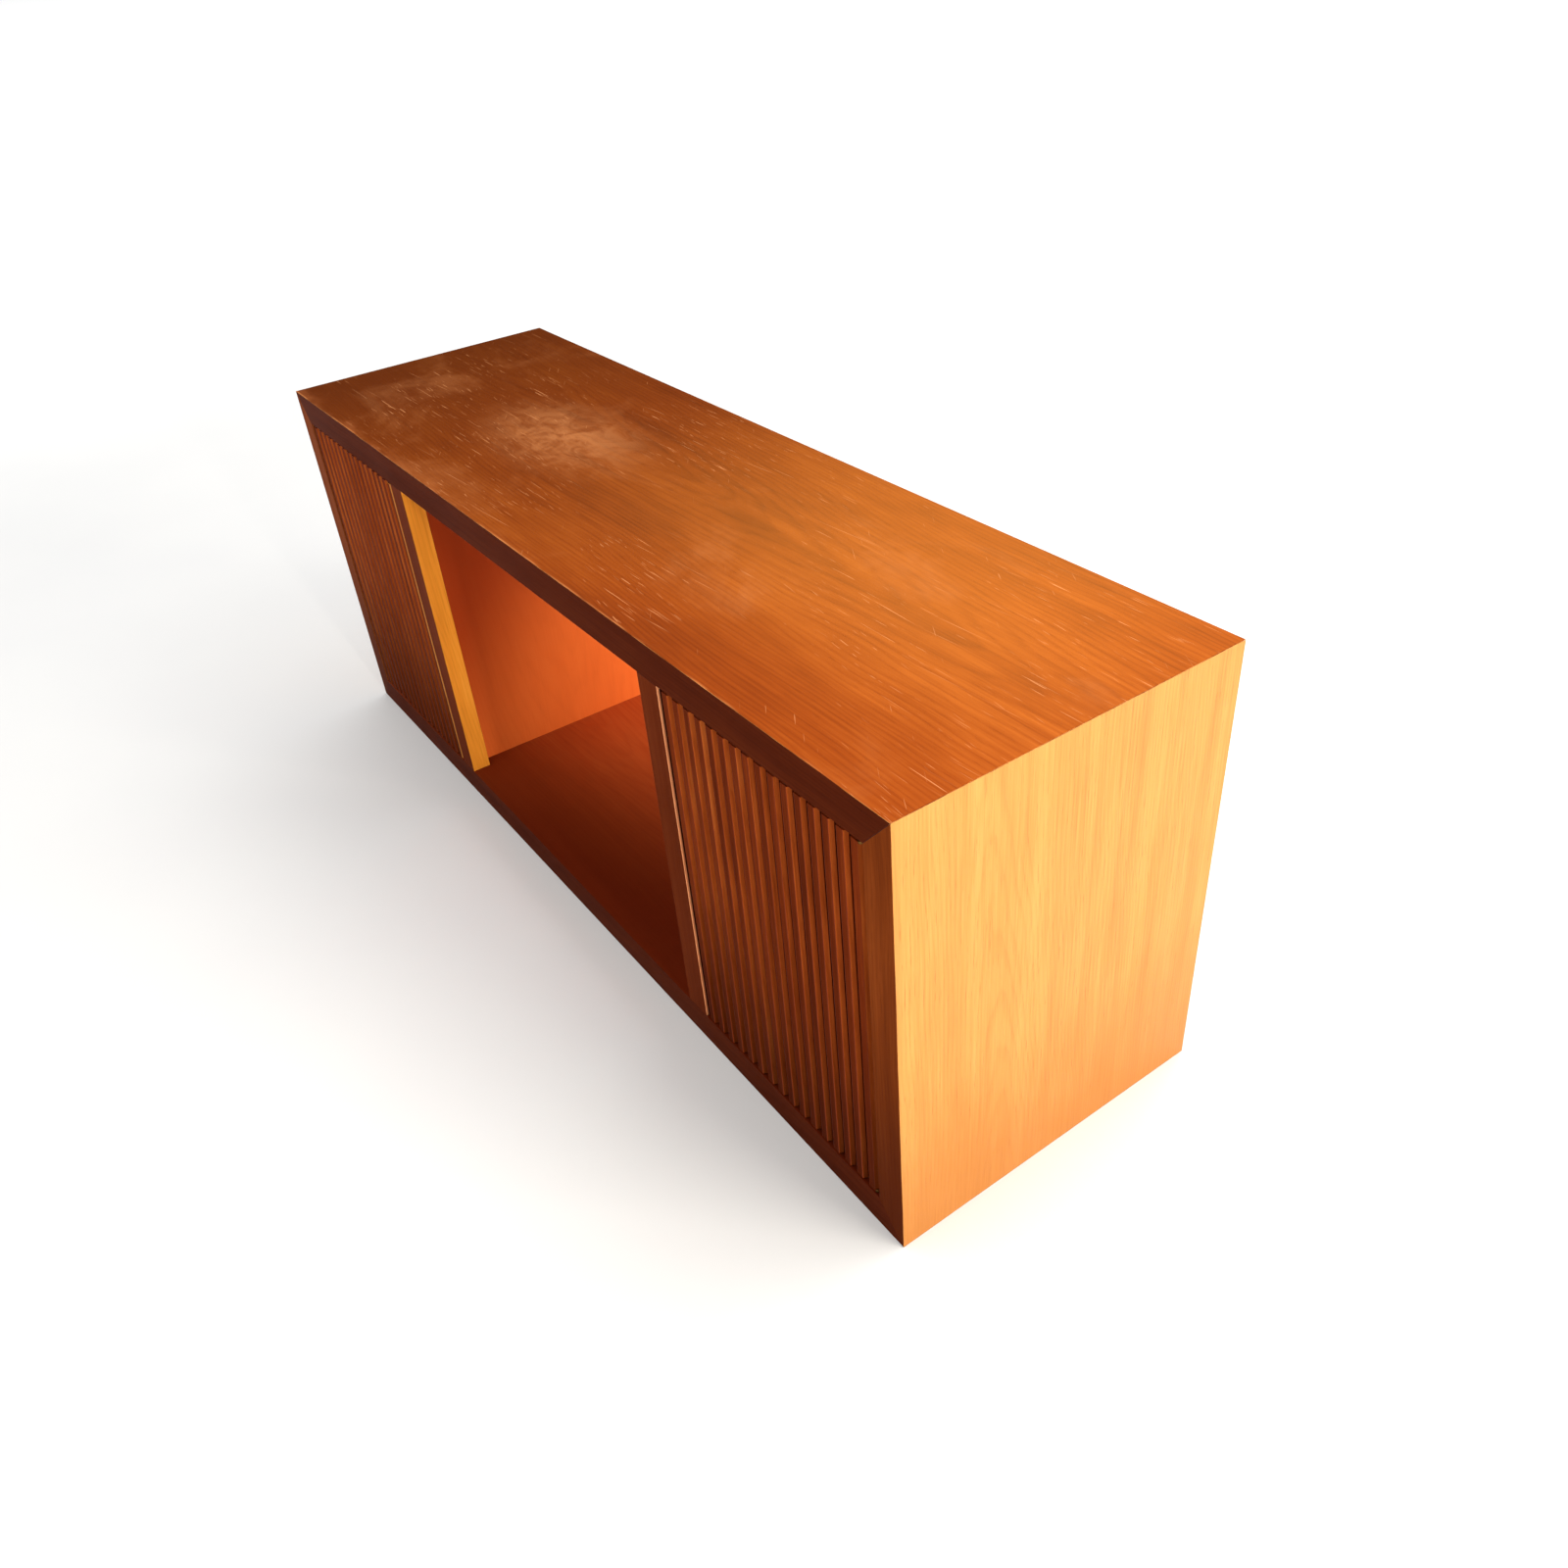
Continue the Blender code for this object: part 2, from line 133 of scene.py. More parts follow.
# Painted light: the back right of the top is painted paler.
BACK_LIGHT_Y = (-0.24, 0.08)
BACK_LIGHT_X = (-0.3, 0.4)
BACK_LIGHT_END_X = (1.0, 0.5)
BACK_LIGHT_TONE = (0.84, 0.54, 0.21)
DEEP_Y = (0.0, -0.22)
DEEP_X = (-0.1, 0.5)
DEEP_TONE = (0.52, 0.20, 0.02)
WORN_EDGE_Y = (-0.165, -0.200)
WORN_EDGE_X = (0.2, -0.5)
WORN_EDGE_UNEVENNESS = 0.09
WORN_EDGE_TONE = (0.72, 0.42, 0.24)
# Painted reflection: a cloudy pale patch on the top.
REFLECTION_PLACE = (-0.25, 0.0)
REFLECTION_SIZE = (0.24, 0.13)
REFLECTION_TONE = (0.84, 0.56, 0.34)
# Painted sheen: pale patches over the top.
SHEEN_MOTTLE_TONE = (0.74, 0.46, 0.26)
BARE_EDGE_Y = (-0.2265, -0.2295)
BARE_EDGE_TONE = (0.80, 0.50, 0.28)
SCRATCH_TONE = (0.90, 0.62, 0.40)
SCRATCH_SOFTNESS = 0.04
SCRATCHES = (
    # degrees from the grain, noise scale, lowest noise value that shows, strength
    (0.0, (560.0, 15.0, 1.0), 0.70, 0.42),
    (4.0, (420.0, 4.5, 1.0), 0.735, 0.38),
    (-6.0, (620.0, 26.0, 1.0), 0.72, 0.36),
    (-32.0, (520.0, 20.0, 1.0), 0.76, 0.3),
)
# Painted shade on the ends, darker and warmer near the floor.
SIDE_SHADE_Z = (0.42, 0.10)
SIDE_SHADE_TONE = (0.62, 0.36, 0.10)
DARK_BELOW_Z = (0.38, 0.04)
DARK_BELOW_TONE = (0.27, 0.08, 0.02)
# Painted shadow on the stile's return behind its front few millimetres.
RETURN_SHADOW_Y = (-0.2268, -0.2260)
RETURN_SHADOW_TONE = (0.24, 0.07, 0.02)
# Painted shade on the bay's walls near the front and the top.
WALL_SHADE = (-0.14, -0.46)        # of y less WALL_SLANT times z
WALL_SLANT = 0.8
WALL_SHADE_TONE = (0.58, 0.18, 0.06)
# Painted shade on the bay's floor towards the front.
FLOOR_SHADE = (0.14, -0.22)        # of y less FLOOR_SLANT times x
FLOOR_SLANT = 0.25
FLOOR_SHADE_TONE = (0.28, 0.06, 0.015)
DARK_RIB_TONE = (0.20, 0.07, 0.02)
BARE_ARRIS = (0.003, 0.001)       # inwards from the cabinet's outer edges

# Camera, at the photograph's viewing angle.
CAMERA_PLACE = (1.4656, -0.7627, 1.2666)
CAMERA_TURN = (54.18, 4.22, 54.48)
CAMERA_LENS = 29.42
CAMERA_SENSOR = 36.0
CAMERA_NEAR = 0.02

# Studio.
FLOOR_HALF = 40.0
FLOOR_DROP = 0.0002
FLOOR_GLOW_DISTANCE = (2.0, 9.0)
FLOOR_GLOW = 0.95
LAMPS = (
    # name, place, aim, width, height, watts, colour, seen in gloss
    ("window", (5.3, 2.2, 1.6), (0.0, 0.0, 0.3), 3.2, 2.0, 370.0, (1.0, 0.93, 0.82), True),
    ("low_sun", (5.5, -0.60, 1.1), (0.0, -0.2, 0.3), 0.22, 1.4, 130.0, (1.0, 0.93, 0.80), True),
    ("near_end", (0.70, 0.45, 1.65), (0.4, 0.15, 0.6), 1.0, 0.8, 14.0, (1.0, 0.97, 0.92), True),
    ("ceiling", (-8.0, 6.0, 6.0), (-8.0, 6.0, 0.0), 30.0, 30.0, 3900.0, (1.0, 1.0, 1.0), False),
)


def paint(red, green, blue):
    """The scene-linear colour of an sRGB colour, with full alpha."""
    linear = Color((red, green, blue)).from_srgb_to_scene_linear()
    return (linear.r, linear.g, linear.b, 1.0)


class Graph:
    """The shader nodes of one material, made and wired with short calls."""

    def __init__(self, name):
        self.material = bpy.data.materials.new(name)
        self.material.use_nodes = True
        self.tree = self.material.node_tree
        self.tree.nodes.clear()
        self.shader = self.tree.nodes.new("ShaderNodeBsdfPrincipled")
        self.output = self.tree.nodes.new("ShaderNodeOutputMaterial")
        self.tree.links.new(self.shader.outputs["BSDF"], self.output.inputs["Surface"])

    def feed(self, socket, value):
        """Wires value into the socket if it is another node's output, and else sets it there."""
        if isinstance(value, bpy.types.NodeSocket):
            self.tree.links.new(value, socket)
        else:
            socket.default_value = value

    def surface(self, **values):
        """Sets the shader's inputs, named with _ for a space."""
        for name, value in values.items():
            self.feed(self.shader.inputs[name.replace("_", " ")], value)

    def math(self, operation, *values, clamp=False):
        node = self.tree.nodes.new("ShaderNodeMath")
        node.operation = operation
        node.use_clamp = clamp
        for socket, value in zip(node.inputs, values):
            self.feed(socket, value)
        return node.outputs["Value"]

    def add(self, *values):
        total = values[0]
        for value in values[1:]:
            total = self.math("ADD", total, value)
        return total

    def times(self, first, second):
        return self.math("MULTIPLY", first, second)

    def centred(self, noise, amount):
        """Noise around 0.5 turned into noise around 0, times amount."""
        return self.times(self.math("SUBTRACT", noise, 0.5), amount)

    def vector_math(self, operation, *values):
        node = self.tree.nodes.new("ShaderNodeVectorMath")
        node.operation = operation
        for socket, value in zip(node.inputs, values):
            self.feed(socket, value)
        return node.outputs["Value" if operation in ("LENGTH", "DOT_PRODUCT") else "Vector"]

    def place(self):
        """The point's place in the object's own space, which is the row frame at rest."""
        return self.tree.nodes.new("ShaderNodeTexCoord").outputs["Object"]

    def split(self, vector):
        node = self.tree.nodes.new("ShaderNodeSeparateXYZ")
        self.feed(node.inputs["Vector"], vector)
        return node.outputs["X"], node.outputs["Y"], node.outputs["Z"]

    def join(self, x, y, z):
        node = self.tree.nodes.new("ShaderNodeCombineXYZ")
        for socket, value in zip(node.inputs, (x, y, z)):
            self.feed(socket, value)
        return node.outputs["Vector"]

    def turn(self, vector, degrees):
        """The vector turned about Z."""
        node = self.tree.nodes.new("ShaderNodeVectorRotate")
        node.rotation_type = "Z_AXIS"
        self.feed(node.inputs["Vector"], vector)
        self.feed(node.inputs["Angle"], radians(degrees))
        return node.outputs["Vector"]

    def noise(self, vector, scale=1.0, detail=2.0, roughness=0.5, distortion=0.0):
        """Smooth noise around 0.5. scale is a number, or one number for each axis."""
        if not isinstance(scale, (int, float)):
            vector = self.vector_math("MULTIPLY", vector, scale)
            scale = 1.0
        node = self.tree.nodes.new("ShaderNodeTexNoise")
        self.feed(node.inputs["Vector"], vector)
        self.feed(node.inputs["Scale"], scale)
        self.feed(node.inputs["Detail"], detail)
        self.feed(node.inputs["Roughness"], roughness)
        self.feed(node.inputs["Distortion"], distortion)
        return node.outputs["Fac"]

    def random(self, value):
        """A random number from 0 to 1 for each whole value."""
        node = self.tree.nodes.new("ShaderNodeTexWhiteNoise")
        node.noise_dimensions = "1D"
        self.feed(node.inputs["W"], value)
        return node.outputs["Value"]

    def fit(self, value, low, high, to_low=0.0, to_high=1.0, smooth=True):
        """value, taken from the range low to high to the range to_low to to_high, and held there."""
        node = self.tree.nodes.new("ShaderNodeMapRange")
        node.interpolation_type = "SMOOTHSTEP" if smooth else "LINEAR"
        self.feed(node.inputs["Value"], value)
        for name, number in zip(("From Min", "From Max", "To Min", "To Max"), (low, high, to_low, to_high)):
            self.feed(node.inputs[name], number)
        return node.outputs["Result"]

    def ramp(self, factor, *stops):
        """A colour from stops, each a place from 0 to 1 and a colour."""
        node = self.tree.nodes.new("ShaderNodeValToRGB")
        elements = node.color_ramp.elements
        while len(elements) < len(stops):
            elements.new(1.0)
        for element, (position, colour) in zip(elements, stops):
            element.position = position
            element.color = colour
        self.feed(node.inputs["Fac"], factor)
        return node.outputs["Color"]

    def mix(self, factor, first, second):
        node = self.tree.nodes.new("ShaderNodeMix")
        node.data_type = "RGBA"
        self.feed(node.inputs[0], factor)
        self.feed(node.inputs[6], first)
        self.feed(node.inputs[7], second)
        return node.outputs[2]

    def tint(self, colour, tone, mask, strength):
        """The colour, moved towards an sRGB tone by strength where the mask is 1."""
        return self.mix(self.times(mask, strength), colour, paint(*tone))

    def bump(self, height, strength, distance):
        node = self.tree.nodes.new("ShaderNodeBump")
        self.feed(node.inputs["Height"], height)
        self.feed(node.inputs["Strength"], strength)
        self.feed(node.inputs["Distance"], distance)
        self.feed(self.shader.inputs["Normal"], node.outputs["Normal"])


def board_place(graph, along, depth, offset):
    """The point as (across the grain, along the grain, depth into the board), moved by offset."""
    axes = graph.split(graph.place())
    across = 3 - along - depth
    vector = graph.join(axes[across], axes[along], axes[depth])
    return graph.vector_math("ADD", vector, offset)


def growth_rings(graph, point, heart, tilt, spacing):
    """Growth-ring lines from 0 to 1 on a board sawn from a trunk.

    heart is the trunk's middle as (across, depth) where along is 0. tilt is how far it drifts, as
    (across, depth), for each metre along, and spacing is the distance between rings."""
    across, along, depth = graph.split(point)
    sway = graph.centred(graph.noise(point, SWAY_SCALE, 3.0), RING_SWAY)
    wobble = graph.centred(graph.noise(point, WOBBLE_SCALE, 2.0), RING_WOBBLE)
    sideways = graph.add(across, -heart[0], graph.times(along, tilt[0]), sway)
    inwards = graph.add(depth, -heart[1], graph.times(along, tilt[1]), wobble)
    distance = graph.vector_math("LENGTH", graph.join(sideways, inwards, 0.0))
    rate = graph.noise(graph.join(distance, 0.0, 0.0), RING_RATE_SCALE, 2.0)
    uneven = graph.times(rate, RING_UNEVENNESS)
    turn = graph.math("FRACT", graph.add(graph.math("DIVIDE", distance, spacing), uneven))
    return graph.ramp(turn, *((place, (dark, dark, dark, 1.0)) for place, dark in RING_PROFILE))


def wood(name, tones, along, depth, heart=(0.0, -0.08), tilt=(0.02, 0.05), spacing=0.005, figure=0.12,
         fibre=0.35, cloud=0.3, pores=0.5, gloss=0.42, sheen=0.03, offset=(0.0, 0.0, 0.0), finish=None):
    """A lacquered veneer or board.

    tones are its dark, middle and light colours. figure, fibre, cloud and pores say how strongly rings, fine
    streaks, broad patches and pores show. gloss is the roughness, and sheen the strength of reflections.
    finish(graph, point, colour, rough) may add wear and painted light and shade, and returns the new colour
    and roughness."""
    graph = Graph(name)
    point = board_place(graph, along, depth, offset)
    rings = growth_rings(graph, point, heart, tilt, spacing)
    streaks = graph.noise(point, STREAK_SCALE, 3.0, 0.6)
    bands = graph.noise(point, BAND_SCALE, 2.0, 0.5)
    clouds = graph.noise(point, CLOUD_SCALE, 3.0, 0.55)
    mottle = graph.noise(point, MOTTLE_SCALE, 3.0, 0.6)
    dashes = graph.noise(point, PORE_SCALE, 1.0, 0.5)

    tone = graph.add(
        0.5,
        graph.times(graph.math("SUBTRACT", 0.35, rings), figure),
        graph.centred(streaks, 1.5 * fibre),
        graph.centred(bands, 1.2 * fibre),
        graph.centred(clouds, 2.0 * cloud),
        graph.centred(mottle, 1.2 * cloud),
    )
    dark, middle, light = (paint(*tone_colour) for tone_colour in tones)
    colour = graph.ramp(tone, (0.1, dark), (0.5, middle), (0.9, light))
    open_pores = graph.times(graph.fit(dashes, 0.6, 0.72), graph.fit(rings, 0.1, 0.8, 0.35, 1.0))
    colour = graph.mix(graph.times(open_pores, pores), colour, dark)
    rough = graph.fit(clouds, 0.3, 0.7, gloss + 0.06, gloss - 0.04)
    if finish:
        colour, rough = finish(graph, point, colour, rough)

    relief = graph.add(
        graph.times(streaks, 0.5),
        graph.times(rings, -0.25),
        graph.times(open_pores, -0.9),
    )
    graph.surface(Base_Color=colour, Roughness=rough, Specular_IOR_Level=sheen)
    graph.bump(relief, 0.35, 0.00025)
    return graph.material


def top_zones(graph, point, colour):
    """Broad changes over the top: painted shade towards the left end, painted light over the back right, a
    deep right front and a worn front edge.
    """
    across, along, _ = graph.split(point)
    colour = graph.tint(colour, LEFT_SHADE_TONE, graph.fit(along, *LEFT_SHADE_X, smooth=False), 0.86)
    back_light = graph.times(graph.fit(across, *BACK_LIGHT_Y), graph.fit(along, *BACK_LIGHT_X))
    back_light = graph.times(back_light, graph.fit(along, *BACK_LIGHT_END_X))
    colour = graph.tint(colour, BACK_LIGHT_TONE, back_light, 0.2)
    deep = graph.times(graph.fit(across, *DEEP_Y), graph.fit(along, *DEEP_X))
    colour = graph.tint(colour, DEEP_TONE, deep, 0.3)
    uneven = graph.times(graph.noise(point, WORN_EDGE_SCALE, 4.0, 0.65), WORN_EDGE_UNEVENNESS)
    edge = graph.times(graph.fit(graph.add(across, uneven), *WORN_EDGE_Y), graph.fit(along, *WORN_EDGE_X))
    return graph.tint(colour, WORN_EDGE_TONE, edge, 0.26)


def painted_reflection(graph, point):
    """The mask of a cloudy pale patch on the top, a painted reflection."""
    across, along, _ = graph.split(point)
    reach_across = graph.math("DIVIDE", graph.add(across, -REFLECTION_PLACE[1]), REFLECTION_SIZE[1])
    reach_along = graph.math("DIVIDE", graph.add(along, -REFLECTION_PLACE[0]), REFLECTION_SIZE[0])
    reach = graph.vector_math("LENGTH", graph.join(reach_across, reach_along, 0.0))
    cloudy = graph.fit(graph.noise(point, REFLECTION_SCALE, 4.0, 0.6, 1.2), 0.32, 0.66, 0.25, 1.0)
    return graph.times(graph.fit(reach, 1.0, 0.15), cloudy)


def worn_top(graph, point, colour, rough):
    """The top: broad zones of painted light and shade with a worn band along the front, a painted reflection
    as a cloudy pale patch, pale patches of painted sheen where the finish is also rougher, and from years of
    use scratches and a bare front edge.
    """
    across, _, _ = graph.split(point)
    colour = top_zones(graph, point, colour)
    # Painted reflection on the top, then pale patches of painted sheen where the finish is also rougher.
    colour = graph.tint(colour, REFLECTION_TONE, painted_reflection(graph, point), 0.34)
    patches = graph.fit(graph.noise(point, SHEEN_MOTTLE_SCALE, 5.0, 0.62, 0.5), 0.53, 0.74)
    colour = graph.tint(colour, SHEEN_MOTTLE_TONE, patches, 0.2)
    rough = graph.add(rough, graph.times(patches, 0.08))
    for degrees, scale, least, strength in SCRATCHES:
        line = graph.noise(graph.turn(point, degrees), scale, 1.0)
        line = graph.fit(line, least, least + SCRATCH_SOFTNESS)
        group = graph.noise(graph.turn(point, 90.0 + degrees), SCRATCH_GROUP_SCALE, 2.0)
        group = graph.fit(group, 0.46, 0.62)
        scratch = graph.times(graph.times(line, group), strength)
        colour = graph.mix(scratch, colour, paint(*SCRATCH_TONE))
        rough = graph.add(rough, graph.times(scratch, 0.15))
    bare = graph.fit(graph.noise(point, BARE_EDGE_SCALE, 3.0), 0.42, 0.6)
    bare = graph.times(graph.fit(across, *BARE_EDGE_Y), bare)
    return graph.tint(colour, BARE_EDGE_TONE, bare, 0.6), rough


def side_shading(graph, point, colour, rough):
    """Painted light and shade on the ends: they are painted darker and warmer near the floor than above."""
    _, along, _ = graph.split(point)
    height = graph.add(along, graph.times(graph.noise(point, SIDE_SHADE_SCALE, 3.0), 0.25))
    return graph.tint(colour, SIDE_SHADE_TONE, graph.fit(height, *SIDE_SHADE_Z), 0.6), rough


def darker_below(graph, point, colour, rough):
    """The front is darker and deeper in colour towards the floor."""
    _, along, _ = graph.split(point)
    return graph.tint(colour, DARK_BELOW_TONE, graph.fit(along, *DARK_BELOW_Z), 0.72), rough


def lit_shadowed_return(graph, point, colour, rough):
    """The stile's return next to the door: its light tones are a painted highlight, and all but the outermost
    few millimetres are painted over in shadow.
    """
    across, _, _ = graph.split(point)
    return graph.tint(colour, RETURN_SHADOW_TONE, graph.fit(across, *RETURN_SHADOW_Y), 1.0), rough


def wall_shading(graph, point, colour, rough):
    """The bay's walls carry painted shade near the front and the top, and stay lighter near the open back
    where light comes in.
    """
    across, along, _ = graph.split(point)
    reach = graph.add(across, graph.times(along, -WALL_SLANT))
    return graph.tint(colour, WALL_SHADE_TONE, graph.fit(reach, *WALL_SHADE), 0.85), rough


def floor_shading(graph, point, colour, rough):
    """The bay's floor carries painted shade towards the front too, and is lighter towards the open back."""
    across, along, _ = graph.split(point)
    reach = graph.add(across, graph.times(along, -FLOOR_SLANT))
    return graph.tint(colour, FLOOR_SHADE_TONE, graph.fit(reach, *FLOOR_SHADE), 0.9), rough


def rib_tones(graph, point, colour, rough):
    """Each rib is its own strip of wood, so its tone differs a little from its neighbours'."""
    across, _, _ = graph.split(point)
    strip = graph.math("FLOOR", graph.math("DIVIDE", graph.math("ADD", across, 1.0 - rib_edge), rib_pitch))
    colour = graph.tint(colour, DARK_RIB_TONE, graph.random(strip), 0.375)
    return darker_below(graph, point, colour, rough)


def rub(name, tones, along, depth):
    """The rounding of a board's arrises: bare in places on the cabinet's outer edges, and else lacquered.

    tones are the lacquered, the bare and the palest bare colour."""
    graph = Graph(name)
    point = board_place(graph, along, depth, (0.0, 0.0, 0.0))
    x, _, z = graph.split(graph.place())
    end, _, top = cad_box[1]
    top_edge = graph.fit(z, *(top - inwards for inwards in BARE_ARRIS))
    end_edge = graph.fit(graph.math("ABSOLUTE", x), *(end - inwards for inwards in BARE_ARRIS))
    outer = graph.math("MAXIMUM", top_edge, end_edge)
    worn = graph.times(outer, graph.fit(graph.noise(point, RUB_SCALE, 4.0, 0.6), 0.35, 0.6))
    streaks = graph.noise(point, RUB_STREAK_SCALE, 2.0)
    bare = graph.mix(graph.fit(streaks, 0.35, 0.65), paint(*tones[1]), paint(*tones[2]))
    graph.surface(
        Base_Color=graph.mix(worn, paint(*tones[0]), bare),
        Roughness=graph.fit(worn, 0.0, 1.0, 0.4, 0.6),
        Specular_IOR_Level=0.05,
    )
    graph.bump(streaks, 0.2, 0.0002)
    return graph.material


def metal(name, colour, dull, roughness):
    """Metal with fine turned lines and a little tarnish."""
    graph = Graph(name)
    point = graph.place()
    lines = graph.noise(point, METAL_LINE_SCALE, 2.0)
    tarnish = graph.fit(graph.noise(point, TARNISH_SCALE, 3.0), 0.4, 0.68)
    graph.surface(
        Base_Color=graph.mix(graph.times(tarnish, 0.6), paint(*colour), paint(*dull)),
        Metallic=1.0,
        Roughness=graph.add(roughness, graph.times(tarnish, 0.15), graph.times(lines, 0.1)),
    )
    graph.bump(lines, 0.15, 0.0001)
    return graph.material


def plastic(name, colour):
    """Moulded plastic with a fine spark texture."""
    graph = Graph(name)
    grain = graph.noise(graph.place(), PLASTIC_SCALE, 2.0)
    pale = paint(*(min(1.0, channel + 0.05) for channel in colour))
    graph.surface(
        Base_Color=graph.mix(grain, paint(*colour), pale),
        Roughness=graph.fit(grain, 0.3, 0.7, 0.42, 0.55),
    )
    graph.bump(grain, 0.25, 0.0002)
    return graph.material


def soften(item, width, rubbed):
    """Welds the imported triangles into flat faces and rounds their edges; rubbed is the rounding's slot."""
    normals = item.data.attributes.get("custom_normal")
    if normals:
        item.data.attributes.remove(normals)
    weld = item.modifiers.new("weld", "WELD")
    weld.merge_threshold = WELD_DISTANCE
    flatten = item.modifiers.new("flatten", "DECIMATE")
    flatten.decimate_type = "DISSOLVE"
    flatten.angle_limit = FLAT_ANGLE
    flatten.delimit = {"MATERIAL"}
    arris = item.modifiers.new("arris", "BEVEL")
    arris.limit_method = "ANGLE"
    arris.angle_limit = EDGE_ANGLE
    arris.width = width
    arris.segments = ARRIS_SEGMENTS
    arris.harden_normals = False
    arris.material = rubbed
    close = item.modifiers.new("close", "WELD")
    close.merge_threshold = WELD_DISTANCE


def dress(item, material, rounding, width, **faces):
    """Gives the item its material and rounded edges, and other materials to the faces that look in the
    directions named."""
    item.data.materials.clear()
    for each in (material, *faces.values(), rounding):
        item.data.materials.append(each)
    for face in item.data.polygons:
        facing = [slot for slot, name in enumerate(faces, 1) if face.normal.dot(DIRECTIONS[name]) > FACING]
        face.material_index = facing[0] if facing else 0
        face.use_smooth = False
    soften(item, width, len(faces) + 1)


# Where the ribs stand, so that each can have its own tone.
rib_low, rib_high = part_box("left_door_rib_01")
next_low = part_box("left_door_rib_02")[0]
rib_pitch = abs(next_low.x - rib_low.x)
rib_edge = (rib_low.x + rib_high.x) / 2 - rib_pitch / 2

top_veneer = wood("top_veneer", TOP_TONES, X, Z, heart=(0.05, 0.50), tilt=(0.05, 0.045), spacing=0.0055,
                  figure=0.18, fibre=0.4, cloud=0.45, pores=0.55, gloss=0.36, sheen=0.03, finish=worn_top)
side_veneer = wood("side_veneer", SIDE_TONES, Z, X, heart=(-0.09, 0.74), tilt=(0.03, 0.05), spacing=0.0045,
                   figure=0.12, fibre=0.42, cloud=0.2, pores=0.9, gloss=0.42, sheen=0.2, finish=side_shading)
rail_lipping = wood("rail_lipping", RAIL_TONES, X, Y, sheen=0.003)
end_lipping = wood("end_lipping", END_TONES, Z, Y, fibre=0.45, sheen=0.003, finish=darker_below)
stile_front = wood("stile_front", STILE_TONES, Z, Y, fibre=0.45, sheen=0.003, offset=(0.6, 0.4, 0.0))
lit_shadowed_return_edge = wood("lit_shadowed_return_edge", RETURN_HIGHLIGHT_TONES, Z, X, fibre=0.4, sheen=0.0, finish=lit_shadowed_return)
inner_flank_highlight = wood("inner_flank_highlight", INNER_FLANK_HIGHLIGHT_TONES, Z, X, fibre=0.4, sheen=0.0)
# Partly painted light: the stile's return into the bay gets golden tones for the light that falls on it.
bay_return_light = wood("bay_return_light", BAY_RETURN_LIGHT_TONES, Z, X, fibre=0.4)
wall_veneer = wood("wall_veneer", WALL_TONES, Z, X, figure=0.06, fibre=0.12, cloud=0.15, pores=0.2,
                   finish=wall_shading)
floor_veneer = wood("floor_veneer", FLOOR_TONES, X, Z, figure=0.1, fibre=0.2, cloud=0.25, pores=0.3,
                    finish=floor_shading)
inner_upright = wood("inner_upright", INNER_TONES, Z, X, fibre=0.3)
inner_along = wood("inner_along", INNER_TONES, X, Z, fibre=0.3)
back_board = wood("back_board", BACK_TONES, Z, Y, figure=0.25, fibre=0.4, gloss=0.6)
rib_face = wood("rib_face", RIB_TONES, Z, Y, figure=0.1, fibre=0.55, cloud=0.45, sheen=0.003,
                finish=rib_tones)
# Partly painted light: the ribs' flanks are lighter than their faces.
rib_flank = wood("rib_flank", FLANK_LIGHT_TONES, Z, X, figure=0.1, fibre=0.5, cloud=0.35, sheen=0.0,
                 finish=darker_below)
door_wood = wood("door_wood", DOOR_TONES, Z, Y, fibre=0.4, offset=(0.1, 0.5, 0.0))
# Painted shade: the door core's face between the ribs is painted far darker than the rest of the core.
groove_shade = wood("groove_shade", GROOVE_SHADE_TONES, Z, Y, fibre=0.3, gloss=0.6, sheen=0.0,
                   finish=darker_below)
rubbed_along = rub("rubbed_along", RUBBED_TONES, X, Y)
rubbed_upright = rub("rubbed_upright", RUBBED_TONES, Z, Y)
rubbed_rib = rub("rubbed_rib", (RIB_TONES[1], FLANK_LIGHT_TONES[1], FLANK_LIGHT_TONES[2]), Z, Y)
rubbed_inner = rub("rubbed_inner", (INNER_TONES[0], INNER_TONES[1], INNER_TONES[2]), Z, X)

brass = metal("brass", (0.60, 0.43, 0.22), (0.32, 0.22, 0.11), 0.34)
steel = metal("steel", (0.72, 0.72, 0.70), (0.42, 0.41, 0.39), 0.32)
brown_plastic = plastic("brown_plastic", (0.20, 0.11, 0.07))

